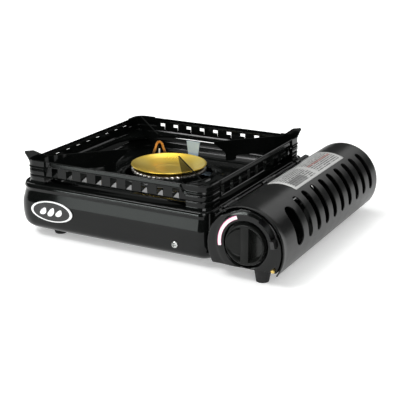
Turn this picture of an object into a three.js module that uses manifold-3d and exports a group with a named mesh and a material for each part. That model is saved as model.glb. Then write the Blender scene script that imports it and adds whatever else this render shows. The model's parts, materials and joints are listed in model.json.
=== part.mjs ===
// Portable butane camping stove with a square wind guard.
// Millimetres, +Z up, front towards -Y, canister bay on the right (+X).
// Drawn about the burner's axis (x = 0, y = 0, ground at z = 0); the last lines move the origin
// to the middle of the footprint.
import * as THREE from 'three';
import { mergeVertices } from 'three/addons/utils/BufferGeometryUtils.js';
import Module from 'manifold-3d';

const wasm = await Module();
wasm.setup();

// ---------------------------------------------------------------- driving dimensions
const GAP = 0.3;                                   // clearance between touching pieces
const BODY = { left: -135, right: 124, front: -135, back: 138, rim: 60.6, sheet: 1.5, corner: 26 };
const WELL = { x: 106, y: 112, radius: 26, floor: 58, hole: 54, rimTop: 66.8 };
const GUARD = { x: 119.4, y: 125.6, radius: 11, bottom: 74.3, top: 94, sheet: 1.5, flange: 9, gusset: 75 };
const VENT = { width: 10, low: 76.6, high: 88, tab: 3.9, tabHigh: 84, count: 9 };
const POST = { reach: 25, low: 67.1, high: 94.6 };
const FIN = { sheet: 1.8, frontTip: 50, rearTip: 57, top: 96, end: 164, earTop: 104, earEnd: 176 };
const BURNER = { rim: 46.5, top: 74 };
const SHELL = { x: 171.5, z: 39.5, radius: 45.5, sheet: 1.5, front: -143, back: 161, dome: 10 };
const SHELL_LOW = -33;                             // degrees, lower right edge of the cover
const SHELL_HIGH = 138;                            // degrees, upper left edge, beside the hinge
const HINGE = { x: 133.6, z: 70.2, knuckle: 3, rod: 1.4, bore: 1.5 };
const PANEL = { left: 126.4, low: 17.5, face: -143, back: -133, sheet: 1.5, radius: 43.2 };
const KNOB = { x: 174, z: 44.5, radius: 22.6, back: -137.4, front: -147, ridge: 4.3, scoop: -139.8 };
const CUP = { radius: 25.3, floor: -137, back: -135.5 };  // round recess in the panel for the knob
// The lever's rest and travel are in degrees about the knob's axis, from +X.
const LEVER = { radius: 33.5, rest: 11, travel: 42, front: -149.5 };
const GAS_Y = -120;                                // depth of the gas line behind the panel
const TRAY = { low: 8.8, high: 17.6, front: -111, rear: 119 };
const FEET = [
  ['front_left', -92, -103, 9.3],
  ['rear_left', -92, 106, 9.3],
  ['front_right', 187, -127, 17.2],
  ['rear_right', 187, 132, 17.2],
];

// ---------------------------------------------------------------- finishes
const finish = (color, roughness, metalness = 0) =>
  new THREE.MeshStandardMaterial({ color, roughness, metalness });
const ENAMEL = finish(0x0b0d0c, 0.16);
const COVER_PAINT = finish(0x26282a, 0.35);
const BLACK_PLASTIC = finish(0x131415, 0.5);
const STEEL = finish(0xa9adad, 0.35, 1);
const ALUMINIUM = finish(0xb5bcc0, 0.45, 1);
const BRASS = finish(0xc9a24a, 0.3, 1);
const COPPER = finish(0xb06a35, 0.35, 1);
const RUBBER = finish(0x101010, 0.85);
const CERAMIC = finish(0xe6e0d2, 0.4);
const WHITE_PRINT = finish(0xe9e3e4, 0.5);
const LABEL = finish(0xb9bbbb, 0.5);

// ---------------------------------------------------------------- solids
// A closed three.js geometry as a manifold solid, facing out.
function solidOf(geometry) {
  const bare = geometry.clone();
  bare.deleteAttribute('normal');
  bare.deleteAttribute('uv');
  const merged = mergeVertices(bare, 1e-3);
  const points = merged.attributes.position.array;
  const index = merged.index.array;
  const faces = [];
  let volume = 0;
  const a = new THREE.Vector3();
  const b = new THREE.Vector3();
  const c = new THREE.Vector3();
  for (let i = 0; i < index.length; i += 3) {
    const [p, q, r] = [index[i], index[i + 1], index[i + 2]];
    if (p === q || q === r || r === p) continue;
    faces.push([p, q, r]);
    a.fromArray(points, 3 * p);
    b.fromArray(points, 3 * q);
    c.fromArray(points, 3 * r);
    volume += a.dot(b.cross(c));
  }
  const outward = volume < 0 ? faces.map(([p, q, r]) => [p, r, q]) : faces;
  const mesh = new wasm.Mesh({
    numProp: 3,
    vertProperties: new Float32Array(points),
    triVerts: new Uint32Array(outward.flat()),
  });
  return new wasm.Manifold(mesh);
}

function geometryOf(solid) {
  const mesh = solid.getMesh();
  const geometry = new THREE.BufferGeometry();
  geometry.setAttribute('position', new THREE.BufferAttribute(mesh.vertProperties, 3));
  geometry.setIndex(new THREE.BufferAttribute(mesh.triVerts, 1));
  return geometry;
}

const join = (...shapes) =>
  geometryOf(shapes.map(solidOf).reduce((whole, next) => whole.add(next)));

const cut = (shape, ...tools) =>
  geometryOf(tools.map(solidOf).reduce((rest, tool) => rest.subtract(tool), solidOf(shape)));

// A box from its lowest to its highest corner.
function box(x0, x1, y0, y1, z0, z1) {
  const shape = new THREE.BoxGeometry(x1 - x0, y1 - y0, z1 - z0);
  return shape.translate((x0 + x1) / 2, (y0 + y1) / 2, (z0 + z1) / 2);
}

const outline = (points) => new THREE.Shape(points.map(([u, v]) => new THREE.Vector2(u, v)));

// An outline drawn in x and z, pushed along y.
function plateXZ(shape, y0, y1, curveSegments = 12) {
  const solid = new THREE.ExtrudeGeometry(shape, { depth: y1 - y0, bevelEnabled: false, curveSegments });
  return solid.rotateX(Math.PI / 2).translate(0, y1, 0);
}

// An outline drawn in x and y, pushed along z.
function plateXY(shape, z0, z1, curveSegments = 12) {
  const solid = new THREE.ExtrudeGeometry(shape, { depth: z1 - z0, bevelEnabled: false, curveSegments });
  return solid.translate(0, 0, z0);
}

// A turned piece: [radius, height] points from axis to axis, standing on z at (x, y).
function turned(profile, x, y, segments = 24) {
  const points = profile.map(([r, h]) => new THREE.Vector2(r, h));
  return new THREE.LatheGeometry(points, segments).rotateX(Math.PI / 2).translate(x, y, 0);
}

// A turned piece lying along y: [radius, y] points, about the axis at (x, z).
function turnedY(profile, x, z, segments = 24) {
  const points = profile.map(([r, h]) => new THREE.Vector2(r, h));
  return new THREE.LatheGeometry(points, segments).translate(x, 0, z);
}

// A turned piece lying along x: [radius, x] points, about the axis at (y, z).
function turnedX(profile, y, z, segments = 16) {
  const points = profile.map(([r, h]) => new THREE.Vector2(r, h));
  return new THREE.LatheGeometry(points, segments).rotateZ(-Math.PI / 2).translate(0, y, z);
}

const rodY = (radius, y0, y1, x, z, segments = 20) =>
  turnedY([[0, y0], [radius, y0], [radius, y1], [0, y1]], x, z, segments);

const rodX = (radius, x0, x1, y, z, segments = 16) =>
  turnedX([[0, x0], [radius, x0], [radius, x1], [0, x1]], y, z, segments);

// ---------------------------------------------------------------- loops and lofts
const CORNER_STEPS = 6;
const CORNERS = [[1, 1, 0], [-1, 1, 90], [-1, -1, 180], [1, -1, 270]];

// A level loop: a rectangle with round corners. radii go back right, back left, front left, front right.
function roundedLoop(x0, x1, y0, y1, radii, z, steps = CORNER_STEPS) {
  const loop = [];
  CORNERS.forEach(([sx, sy, start], corner) => {
    const r = radii[corner];
    const cx = sx > 0 ? x1 - r : x0 + r;
    const cy = sy > 0 ? y1 - r : y0 + r;
    for (let i = 0; i < steps; i++) {
      const angle = THREE.MathUtils.degToRad(start + (90 * i) / (steps - 1));
      loop.push(new THREE.Vector3(cx + r * Math.cos(angle), cy + r * Math.sin(angle), z));
    }
  });
  return loop;
}

// A level circle with the same number of points as a rounded loop.
function circleLoop(radius, z, steps = CORNER_STEPS) {
  const loop = [];
  for (let i = 0; i < 4 * steps; i++) {
    const angle = (2 * Math.PI * (i + 0.5)) / (4 * steps);
    loop.push(new THREE.Vector3(radius * Math.cos(angle), radius * Math.sin(angle), z));
  }
  return loop;
}

// Triangles that fill one loop, found in the plane it lies nearest to.
function fill(loop) {
  const normal = new THREE.Vector3();
  loop.forEach((p, i) => {
    const q = loop[(i + 1) % loop.length];
    normal.x += (p.y - q.y) * (p.z + q.z);
    normal.y += (p.z - q.z) * (p.x + q.x);
    normal.z += (p.x - q.x) * (p.y + q.y);
  });
  const [x, y, z] = normal.toArray().map(Math.abs);
  let [u, v] = ['x', 'y'];
  if (x >= y && x >= z) [u, v] = ['y', 'z'];
  else if (y >= z) [u, v] = ['z', 'x'];
  return THREE.ShapeUtils.triangulateShape(loop.map((p) => new THREE.Vector2(p[u], p[v])), []);
}

// Skin over a list of loops. Closed: the last loop joins the first, as a ring.
// Otherwise the two end loops are filled.
function loft(loops, closed) {
  const count = loops[0].length;
  const index = [];
  const bands = closed ? loops.length : loops.length - 1;
  for (let band = 0; band < bands; band++) {
    const low = band * count;
    const high = ((band + 1) % loops.length) * count;
    for (let i = 0; i < count; i++) {
      const j = (i + 1) % count;
      index.push(low + i, low + j, high + j, low + i, high + j, high + i);
    }
  }
  if (!closed) {
    const last = (loops.length - 1) * count;
    for (const [i, j, k] of orient(loops[0], true)) index.push(i, j, k);
    for (const [i, j, k] of orient(loops[loops.length - 1], false)) index.push(last + i, last + j, last + k);
  }
  const geometry = new THREE.BufferGeometry();
  const points = loops.flat().flatMap((p) => p.toArray());
  geometry.setAttribute('position', new THREE.Float32BufferAttribute(points, 3));
  geometry.setIndex(index);
  return geometryOf(solidOf(geometry));
}

// Fill triangles that use each edge of the loop against, or along, the loop's own direction.
function orient(loop, against) {
  const faces = fill(loop);
  const along = faces.some((face) => face.some((p, n) => face[(n + 1) % 3] === p + 1));
  return along === against ? faces.map(([i, j, k]) => [i, k, j]) : faces;
}

// ---------------------------------------------------------------- lower body
// Height, and how far the pressed wall stands in from the widest line, at 47 mm.
const WALL = [
  [9.6, 17], [10.8, 11], [13.8, 5.5], [18, 2.2], [25, 0.6],
  [36, 0], [47, 0], [55, 1.4], [BODY.rim, 3.2],
];

function wallInset(z) {
  const next = WALL.findIndex(([height]) => height >= z);
  if (next < 1) return WALL[Math.max(next, 0)][1];
  const [z0, inset0] = WALL[next - 1];
  const [z1, inset1] = WALL[next];
  return THREE.MathUtils.mapLinear(z, z0, z1, inset0, inset1);
}

// The side next to the canister bay is nearly upright, so it takes a third of the inset.
function bodyLoop(inset, z) {
  const left = Math.max(BODY.corner - 0.4 * inset, 8);
  const right = Math.max(12 - 0.2 * inset, 5);
  return roundedLoop(BODY.left + inset, BODY.right - 0.35 * inset, BODY.front + inset,
    BODY.back - inset, [right, left, left, right], z);
}

function lowerBody() {
  const outside = WALL.map(([z, inset]) => bodyLoop(inset, z));
  const inside = WALL.map(([z, inset], i) =>
    bodyLoop(inset + BODY.sheet, i < 3 ? z + BODY.sheet : z)).reverse();
  const tub = loft([...outside, ...inside], false);
  const airSlots = [-60, -30, 30, 60].map((x) => box(x - 3, x + 3, 50, 90, 5, 15));
  return cut(tub, ...airSlots, ...gasLineHoles());
}

// Holes for the mixing tube, the ignition lead and the heat plate where they pass into the bay.
function gasLineHoles() {
  return [
    rodX(9.5, 110, 130, GAS_Y, KNOB.z),
    rodX(2.6, 105, 130, LEAD.y, LEAD.z, 10),
    box(110, 130, 49, 66, 46.5, 50.7),
  ];
}

const LEAD = { y: -118, z: 27, radius: 1.1 };

// Top plate: rolled outer edge, raised bead, sunken well and a collar round the burner.
function topPlate() {
  const t = 1.4;
  const well = (inset, z) => roundedLoop(inset - WELL.x, WELL.x - inset, inset - WELL.y,
    WELL.y - inset, Array(4).fill(WELL.radius - inset / 2), z);
  const top = WELL.rimTop;
  return loft([
    bodyLoop(3.2, BODY.rim + GAP),
    bodyLoop(2.6, 64.6),
    bodyLoop(4, top - 0.6),
    bodyLoop(6.5, top),
    well(-2.2, top),
    well(-1, top + 1.3),
    well(1, top + 1.3),
    well(2.4, top),
    well(6, WELL.floor + 1),
    well(9, WELL.floor),
    circleLoop(WELL.hole + 6, WELL.floor),
    circleLoop(WELL.hole + 2.5, WELL.floor + 1.5),
    circleLoop(WELL.hole + 1.5, WELL.floor + 5),
    circleLoop(WELL.hole, WELL.floor + 5),
    circleLoop(WELL.hole + 1, WELL.floor),
    circleLoop(WELL.hole + 4.5, WELL.floor - t),
    well(10, WELL.floor - t),
    well(7.4, WELL.floor),
    well(3.8, top - t),
    well(-2.2, top - t),
    bodyLoop(7, top - t),
    bodyLoop(5.4, 64.6),
    bodyLoop(4.8, BODY.rim + GAP),
  ], true);
}

// Oval badge that follows the pressed front of the body.
function badge() {
  const centre = { x: -80, z: 37.7 };
  const half = { x: 29, z: 12.3 };
  const skin = (scale, off) => {
    const loop = [];
    for (let i = 0; i < 28; i++) {
      const angle = (2 * Math.PI * i) / 28;
      const x = centre.x + scale * half.x * Math.cos(angle);
      const z = centre.z + scale * half.z * Math.sin(angle);
      const past = Math.max(BODY.left + BODY.corner - x, 0);
      const sag = BODY.corner - Math.sqrt(BODY.corner ** 2 - past ** 2);
      loop.push(new THREE.Vector3(x, BODY.front + wallInset(z) + sag - off, z));
    }
    return loop;
  };
  return loft([
    skin(0.4, 0.8), skin(0.7, 0.8), skin(1, 0.8),
    skin(1, 1.8), skin(0.7, 2.2), skin(0.4, 2.2),
  ], false);
}

function foot(x, y, top) {
  return turned([[0, 0], [5.8, 0], [7, 1.2], [9.4, top], [0, top]], x, y, 20);
}

// Round screw head low on the front, square to the wall where it curves under.
function frontScrew() {
  const z = 26;
  const slope = Math.atan((wallInset(z - 1) - wallInset(z + 1)) / 2);
  const head = turnedY([[0, -2.6], [2.6, -2.3], [4, -1.2], [4, -0.5], [0, -0.5]], 0, 0, 16);
  return head.rotateX(slope).translate(84, BODY.front + wallInset(z), z);
}

// ---------------------------------------------------------------- canister bay
const polar = (radius, degrees, x = SHELL.x, z = SHELL.z) => {
  const angle = THREE.MathUtils.degToRad(degrees);
  return [x + radius * Math.cos(angle), z + radius * Math.sin(angle)];
};

// Points along an arc about the bay's axis, or about another centre.
const arc = (radius, from, to, steps, x, z) =>
  Array.from({ length: steps + 1 }, (_, i) => polar(radius, from + ((to - from) * i) / steps, x, z));

// Tray under the bay: deep under the canister, with a higher floor over each right-hand foot.
function canisterTray() {
  const t = 1.3;
  const trough = (floor, y0, y1) => {
    const turn = THREE.MathUtils.radToDeg(Math.asin((floor - SHELL.z) / PANEL.radius));
    return plateXZ(outline([
      [PANEL.left, floor + 7.9],
      [PANEL.left, floor + 5],
      [132, floor],
      ...arc(PANEL.radius, turn, -20, 5),
      ...arc(PANEL.radius - t, -20, turn + 1, 5),
      [132.6, floor + t],
      [PANEL.left + t, floor + 5.6],
      [PANEL.left + t, floor + 7.9],
    ]), y0, y1);
  };
  const step = (y) => bulkhead(y, y + t, TRAY.high + t, 0, TRAY.low);
  return join(
    trough(TRAY.high, PANEL.back + 0.5, TRAY.front + t),
    trough(TRAY.low, TRAY.front, TRAY.rear),
    trough(TRAY.high, TRAY.rear - t, 150.5),
    step(TRAY.front),
    step(TRAY.rear - t),
  );
}

const KNUCKLE_ROWS = [-100, 0, 100];               // middle of each hinge group along y
const COVER_KNUCKLE = 18;
const BODY_KNUCKLE = 8;

// A knuckle on the hinge's axis, bored for the rod, with its leaf.
const knuckle = (y0, y1) => rodY(HINGE.knuckle, y0, y1, HINGE.x, HINGE.z, 14);
const hingeBore = () => rodY(HINGE.bore, -140, 140, HINGE.x, HINGE.z, 14);

// Wall between the burner side and the bay, folded into a shelf that carries the hinge.
function bayDivider() {
  const x = BODY.right + GAP;
  const pieces = [
    box(x, x + 1.5, -131, 136, 18, 66.8),
    box(x, 130.2, -125, 136, 65.3, 66.8),
  ];
  for (const row of KNUCKLE_ROWS) {
    for (const side of [-1, 1]) {
      const middle = row + side * (COVER_KNUCKLE / 2 + 0.5 + BODY_KNUCKLE / 2);
      const [y0, y1] = [middle - BODY_KNUCKLE / 2, middle + BODY_KNUCKLE / 2];
      pieces.push(box(130, HINGE.x, y0, y1, 65.8, HINGE.z), knuckle(y0, y1));
    }
  }
  return cut(join(...pieces), hingeBore(), ...gasLineHoles());
}

const hingeRod = () => rodY(HINGE.rod, -122, 122, HINGE.x, HINGE.z, 12);

// Upright walls across the bay, shaped to clear the cover.
function bulkhead(y0, y1, high, hole, low = TRAY.low + 1.6) {
  const radius = 41;
  const turn = THREE.MathUtils.radToDeg(Math.asin((high - SHELL.z) / radius));
  const start = THREE.MathUtils.radToDeg(Math.asin((low - SHELL.z) / radius));
  const plate = plateXZ(outline([
    [134, low],
    ...arc(radius, start, turn, 10),
    [PANEL.left + 2, high],
    [PANEL.left + 2, Math.min(low + 6.8, high - 1)],
  ]), y0, y1);
  return hole ? cut(plate, rodY(hole, y0 - 1, y1 + 1, KNOB.x, KNOB.z)) : plate;
}

// ---------------------------------------------------------------- canister cover
const COVER_SLOT = { low: -3.5, high: 60, width: 11.4, first: -67.5, pitch: 24.6, count: 9 };
const WIDE_SLOT = { y: -96.5, width: 20, low: -4, high: 54 };

// A curved cutter through the cover's skin, with round ends.
function slotCutter(y, width, low, high) {
  const [inner, outer] = [SHELL.radius - 5, SHELL.radius + 3];
  const round = THREE.MathUtils.radToDeg(width / 2 / SHELL.radius);
  const body = plateXZ(outline([
    ...arc(outer, low + round, high - round, 5),
    ...arc(inner, high - round, low + round, 5),
  ]), y - width / 2, y + width / 2);
  const end = (degrees) => {
    const pin = new THREE.CylinderGeometry(width / 2, width / 2, outer - inner, 10);
    pin.rotateZ(THREE.MathUtils.degToRad(degrees - 90));
    const [x, z] = polar((inner + outer) / 2, degrees, 0, 0);
    return pin.rotateX(Math.PI / 2).translate(SHELL.x + x, y, SHELL.z + z);
  };
  return [body, end(low + round), end(high - round)];
}

function canisterCover() {
  const { radius, sheet, front, back, dome } = SHELL;
  const start = back - dome;
  const round = (shrink) => [30, 60, 90].map((degrees) => {
    const angle = THREE.MathUtils.degToRad(degrees);
    return [radius - dome + (dome - shrink) * Math.cos(angle), start + (dome - shrink) * Math.sin(angle)];
  });
  const cup = turnedY([
    [0, back],
    ...round(0).reverse(),
    [radius, start],
    [radius, front],
    [radius - sheet, front],
    [radius - sheet, start],
    ...round(sheet),
    [0, back - sheet],
  ], SHELL.x, SHELL.z, 48);
  const [x1, z1] = polar(radius, SHELL_LOW);
  const [x2, z2] = polar(radius, SHELL_HIGH);
  const slope = (z1 - z2) / (x1 - x2);
  const below = plateXZ(outline([
    [60, -60], [280, -60], [280, z1 + slope * (280 - x1)], [60, z2 + slope * (60 - x2)],
  ]), front - 5, back + 5);
  const slots = [];
  for (let i = 0; i < COVER_SLOT.count; i++) {
    const y = COVER_SLOT.first + i * COVER_SLOT.pitch;
    slots.push(...slotCutter(y, COVER_SLOT.width, COVER_SLOT.low, COVER_SLOT.high));
  }
  slots.push(...slotCutter(WIDE_SLOT.y, WIDE_SLOT.width, WIDE_SLOT.low, WIDE_SLOT.high));
  const half = cut(cup, below, ...slots);
  const knuckles = KNUCKLE_ROWS.flatMap((row) => {
    const [y0, y1] = [row - COVER_KNUCKLE / 2, row + COVER_KNUCKLE / 2];
    return [knuckle(y0, y1), box(HINGE.x, 138.6, y0, y1, HINGE.z - 0.4, HINGE.z + 1)];
  });
  return cut(join(half, ...knuckles), hingeBore());
}

// Printed label wrapped over the top of the cover.
function coverLabel() {
  const [inner, outer] = [SHELL.radius + GAP, SHELL.radius + GAP + 0.3];
  return plateXZ(outline([...arc(outer, 65, 111, 10), ...arc(inner, 111, 65, 10)]), -50, 99);
}

// ---------------------------------------------------------------- control panel
// Outline of the panel: straight left side, then round the bay, drawn at an inset.
function panelOutline(inset) {
  const radius = PANEL.radius - inset;
  const low = PANEL.low + inset;
  const start = THREE.MathUtils.radToDeg(Math.asin((low - SHELL.z) / radius));
  const left = PANEL.left + inset;
  return outline([
    [left + 5, low],
    ...arc(radius, start, 138, 26),
    [left + 4, 64.5 - inset],
    [left, 60],
    [left, low + 5],
  ]);
}

// Curved slot about the knob's axis.
const knobArc = (inner, outer, from, to, y0, y1) =>
  plateXZ(outline([
    ...arc(outer, from, to, 12, KNOB.x, KNOB.z),
    ...arc(inner, to, from, 12, KNOB.x, KNOB.z),
  ]), y0, y1);

function controlPanel() {
  const plate = plateXZ(panelOutline(0), PANEL.face, PANEL.back);
  const hollow = plateXZ(panelOutline(PANEL.sheet), PANEL.face + PANEL.sheet, PANEL.back + 1);
  const reach = 8;
  const slot = knobArc(LEVER.radius - 2.8, LEVER.radius + 2.8, LEVER.rest - reach,
    LEVER.rest + LEVER.travel + reach, PANEL.face - 1, PANEL.face + 3);
  const outer = CUP.radius + PANEL.sheet;
  const cup = rodY(outer, PANEL.face + 0.5, CUP.back, KNOB.x, KNOB.z, 40);
  return cut(join(cut(plate, hollow), cup), slot,
    rodY(CUP.radius, PANEL.face - 1, CUP.floor, KNOB.x, KNOB.z, 40),
    rodY(6, PANEL.face - 1, CUP.back + 1, KNOB.x, KNOB.z),
    rodY(2.8, PANEL.face - 1, PANEL.back + 1, RELIEF.x, RELIEF.z, 12));
}

const RELIEF = { x: 206.6, z: 21 };

// Brass outlet of the over-pressure relief.
const reliefOutlet = () =>
  turnedY([[0, -146.5], [1.6, -146.5], [2.2, -145.5], [2.2, -134], [0, -134]], RELIEF.x, RELIEF.z, 12);

const flameScale = () => knobArc(28.3, 32.6, 109, 190, PANEL.face - GAP - 0.4, PANEL.face - GAP);

// Knob: a drum nearly flush with the panel, scooped out on both sides of an upright grip ridge.
function controlKnob() {
  const { x, z, radius, back, front, ridge, scoop } = KNOB;
  const drum = turnedY([
    [0, back], [radius, back], [radius, front + 1], [radius - 1, front], [0, front],
  ], x, z, 40);
  const reach = radius - 1.8;
  const edge = THREE.MathUtils.radToDeg(Math.acos(ridge / reach));
  const scoops = [0, 180].map((turn) => {
    const side = arc(reach, turn - edge, turn + edge, 14, 0, 0);
    return plateXZ(outline(side), front - 1, scoop).translate(x, 0, z);
  });
  return cut(drum, ...scoops, rodY(3, -141, back + 1, x, z, 16));
}

const knobShaft = () => turnedY([
  [0, -140.7], [2.7, -140.7], [2.7, -136], [3.8, -135.8], [3.8, -131.2], [0, -131.2],
], KNOB.x, KNOB.z, 16);

// Canister lock lever: a ring behind the knob's recess, an arm, and a tab out through the panel.
function lockLever() {
  const [front, back] = [CUP.back + GAP, CUP.back + GAP + 1.6];
  const ring = rodY(13, front, back, KNOB.x, KNOB.z, 24);
  const arm = plateXZ(outline([[8, -4], [LEVER.radius + 2, -4], [LEVER.radius + 2, 4], [8, 4]]), front, back);
  const tab = box(LEVER.radius - 2.1, LEVER.radius + 2.1, LEVER.front, back, -4, 4);
  for (const piece of [arm, tab]) {
    piece.rotateY(-THREE.MathUtils.degToRad(LEVER.rest)).translate(KNOB.x, 0, KNOB.z);
  }
  return cut(join(ring, arm, tab), rodY(5, front - 1, back + 1, KNOB.x, KNOB.z, 16));
}

// ---------------------------------------------------------------- gas train
function regulatorBody() {
  return turnedY([
    [0, -131], [9, -131], [9, -129], [19, -129], [20, -128], [20, -112], [19, -111],
    [9, -111], [9, -103.5], [0, -103.5],
  ], KNOB.x, KNOB.z, 28);
}

const gasInlet = () =>
  turnedY([[0, -103.2], [4.5, -103.2], [4.5, -99], [3, -97], [3, -94], [0, -94]], KNOB.x, KNOB.z, 16);

const gasJet = () =>
  turnedX([[0, 141], [1.5, 141], [2.5, 143], [4.5, 144], [4.5, 153.7], [0, 153.7]], GAS_Y, KNOB.z);

// Mixing tube: from its open mouth at the jet, through the divider, to the burner cup.
function mixingTube() {
  const path = new THREE.CatmullRomCurve3([
    [139.5, GAS_Y, KNOB.z], [118, GAS_Y, KNOB.z], [96, -110, KNOB.z], [60, -66, 45.5],
    [32, -34, 47], [14, -14.4, 47],
  ].map((p) => new THREE.Vector3(...p)));
  const section = new THREE.Shape().absarc(0, 0, 8, 0, 2 * Math.PI);
  section.holes.push(new THREE.Path().absarc(0, 0, 6.6, 0, 2 * Math.PI));
  return new THREE.ExtrudeGeometry(section, { steps: 14, extrudePath: path, curveSegments: 6 });
}

function burnerCup() {
  return turned([
    [0, 38], [17, 38], [19, 40], [19, 55], [34, 61], [41, 64], [41, 66.2], [36, 66.2],
    [33, 62.6], [17.4, 56.2], [17.4, 41], [0, 40],
  ], 0, 0, 28);
}

// Steel ring cut with flame ports all round.
function portRing() {
  const teeth = 30;
  const shape = new THREE.Shape();
  for (let i = 0; i < teeth * 4; i++) {
    const angle = (2 * Math.PI * i) / (teeth * 4);
    const radius = i % 4 < 2 ? 46.6 : 44.4;
    const point = [radius * Math.cos(angle), radius * Math.sin(angle)];
    if (i === 0) shape.moveTo(...point);
    else shape.lineTo(...point);
  }
  shape.closePath();
  shape.holes.push(new THREE.Path().absarc(0, 0, 38, 0, 2 * Math.PI));
  return plateXY(shape, 66.5, 69, 16);
}

function burnerHead() {
  const { rim, top } = BURNER;
  return turned([
    [0, 65.6], [24, 66], [33, 67.6], [37, 69.4], [43.5, 71.6], [rim, top - 1], [rim, top],
    [45, top], [38, 71.4], [32.6, 68.9], [24, 67.4], [0, 67],
  ], 0, 0, 40);
}

const burnerStand = () =>
  turned([[0, 11.4], [9, 11.4], [9, 13], [5, 14], [5, 37.6], [0, 37.6]], 0, 0, 16);

// ---------------------------------------------------------------- ignition and heat plate
const SPARK = { x: -34.5, y: 36 };

function piezoIgniter() {
  return join(
    rodY(7, -130, -112, 148, LEAD.z, 18),
    rodY(3.5, -133, -129.5, 148, LEAD.z, 12),
  );
}

function ignitionLead() {
  const path = new THREE.CatmullRomCurve3([
    [140.6, LEAD.y, LEAD.z], [118, LEAD.y, LEAD.z], [96, -100, 22], [50, -30, 20.5],
    [12, 26, 20.5], [-20, 38, 25], [SPARK.x, SPARK.y, 38], [SPARK.x, SPARK.y, 51.6],
  ].map((p) => new THREE.Vector3(...p)));
  const section = new THREE.Shape().absarc(0, 0, LEAD.radius, 0, 2 * Math.PI);
  return new THREE.ExtrudeGeometry(section, { steps: 36, extrudePath: path, curveSegments: 4 });
}

const sparkElectrode = () =>
  turned([[0, 52], [2.6, 52], [2.6, 70], [1, 71.5], [0.9, 79], [0, 79]], SPARK.x, SPARK.y, 12);

// Copper hoop round the electrode: an upside-down V closed by a foot.
function electrodeHoop() {
  const frame = outline([[-10, 64], [10, 64], [1.4, 88.5], [-1.4, 88.5]]);
  frame.holes.push(new THREE.Path([[-7, 66], [0, 84], [7, 66]].map((p) => new THREE.Vector2(...p))));
  const hoop = plateXZ(frame, -1.6, 1.6);
  return hoop.rotateZ(THREE.MathUtils.degToRad(28)).translate(SPARK.x - 2.1, SPARK.y + 3.9, 0);
}

// Heat plate: a tab beside the flame, a strap under the top plate, and a pad beside the canister.
function heatPlate() {
  const y = 49.8;
  const tab = plateXZ(outline([[1, 48], [13, 48], [13, 66], [16.5, 90], [-2.5, 90], [1, 66]]), y, y + 1.2);
  return join(
    tab,
    box(1, 137.2, y, y + 13, 48, 49.2),
    box(136, 137.2, y, y + 13, 40, 60),
  );
}

// ---------------------------------------------------------------- canister clamp
// Fork behind the inlet that draws the canister's collar forward.
function canisterClamp() {
  const plate = outline([[-21, -16], [21, -16], [21, 14], [9, 22], [-9, 22], [-21, 14]]);
  plate.holes.push(new THREE.Path([[-8, -14], [8, -14], [8, 4], [4, 8], [-4, 8], [-8, 4]]
    .map((p) => new THREE.Vector2(...p))));
  const fork = plateXZ(plate, -101.5, -99.8).translate(KNOB.x, 0, KNOB.z);
  const hooks = [-17, 17].map((x) =>
    box(KNOB.x + x - 2, KNOB.x + x + 2, -100, -95, KNOB.z - 6, KNOB.z + 6));
  return join(fork, ...hooks);
}

// ---------------------------------------------------------------- pan support and wind guard
const guardLoop = (inset, z) => roundedLoop(inset - GUARD.x, GUARD.x - inset, inset - GUARD.y,
  GUARD.y - inset, Array(4).fill(Math.max(GUARD.radius - inset, 2)), z);

// One vent: a square opening with a pointed tab left standing at its foot.
function ventCutter(deep) {
  const half = VENT.width / 2;
  return plateXZ(outline([
    [-half, VENT.low], [-VENT.tab, VENT.low], [0, VENT.tabHigh], [VENT.tab, VENT.low],
    [half, VENT.low], [half, VENT.high], [-half, VENT.high],
  ]), -deep, deep);
}

function windGuard() {
  const { bottom, top, sheet, flange, gusset } = GUARD;
  const lip = (z) => roundedLoop(flange - GUARD.x, GUARD.x - flange, flange - GUARD.y,
    GUARD.y - flange, Array(4).fill(gusset), z);
  const ring = loft([
    guardLoop(0, bottom),
    guardLoop(0, top - 1),
    guardLoop(1, top),
    guardLoop(2.6, top),
    guardLoop(3.4, top - 1.6),
    guardLoop(3.2, top - 4.2),
    guardLoop(sheet, top - 5.4),
    guardLoop(sheet, bottom + sheet),
    lip(bottom + sheet),
    lip(bottom),
  ], true);
  const cutters = [];
  const first = (VENT.count - 1) / 2;
  for (let i = 0; i < VENT.count; i++) {
    for (const side of [-1, 1]) {
      cutters.push(ventCutter(3).translate((i - first) * 20.2, side * GUARD.y, 0));
      cutters.push(ventCutter(3).rotateZ(Math.PI / 2).translate(side * GUARD.x, (i - first) * 22, 0));
    }
  }
  for (const [sx, sy] of CORNERS.filter(hasEar)) cutters.push(finNotch(sx, sy));
  return cut(ring, ...cutters);
}

// Two opposite fins end in an ear outside the corner; the other two stop inside the guard.
const hasEar = ([sx, sy]) => sx === sy;

// Direction of a corner fin, in radians from +X.
const finAngle = (sx, sy) => Math.atan2(sy * GUARD.y, sx * GUARD.x);

const finNotch = (sx, sy) => box(155, 185, -1.3, 1.3, 85.6, 110).rotateZ(finAngle(sx, sy));

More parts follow.
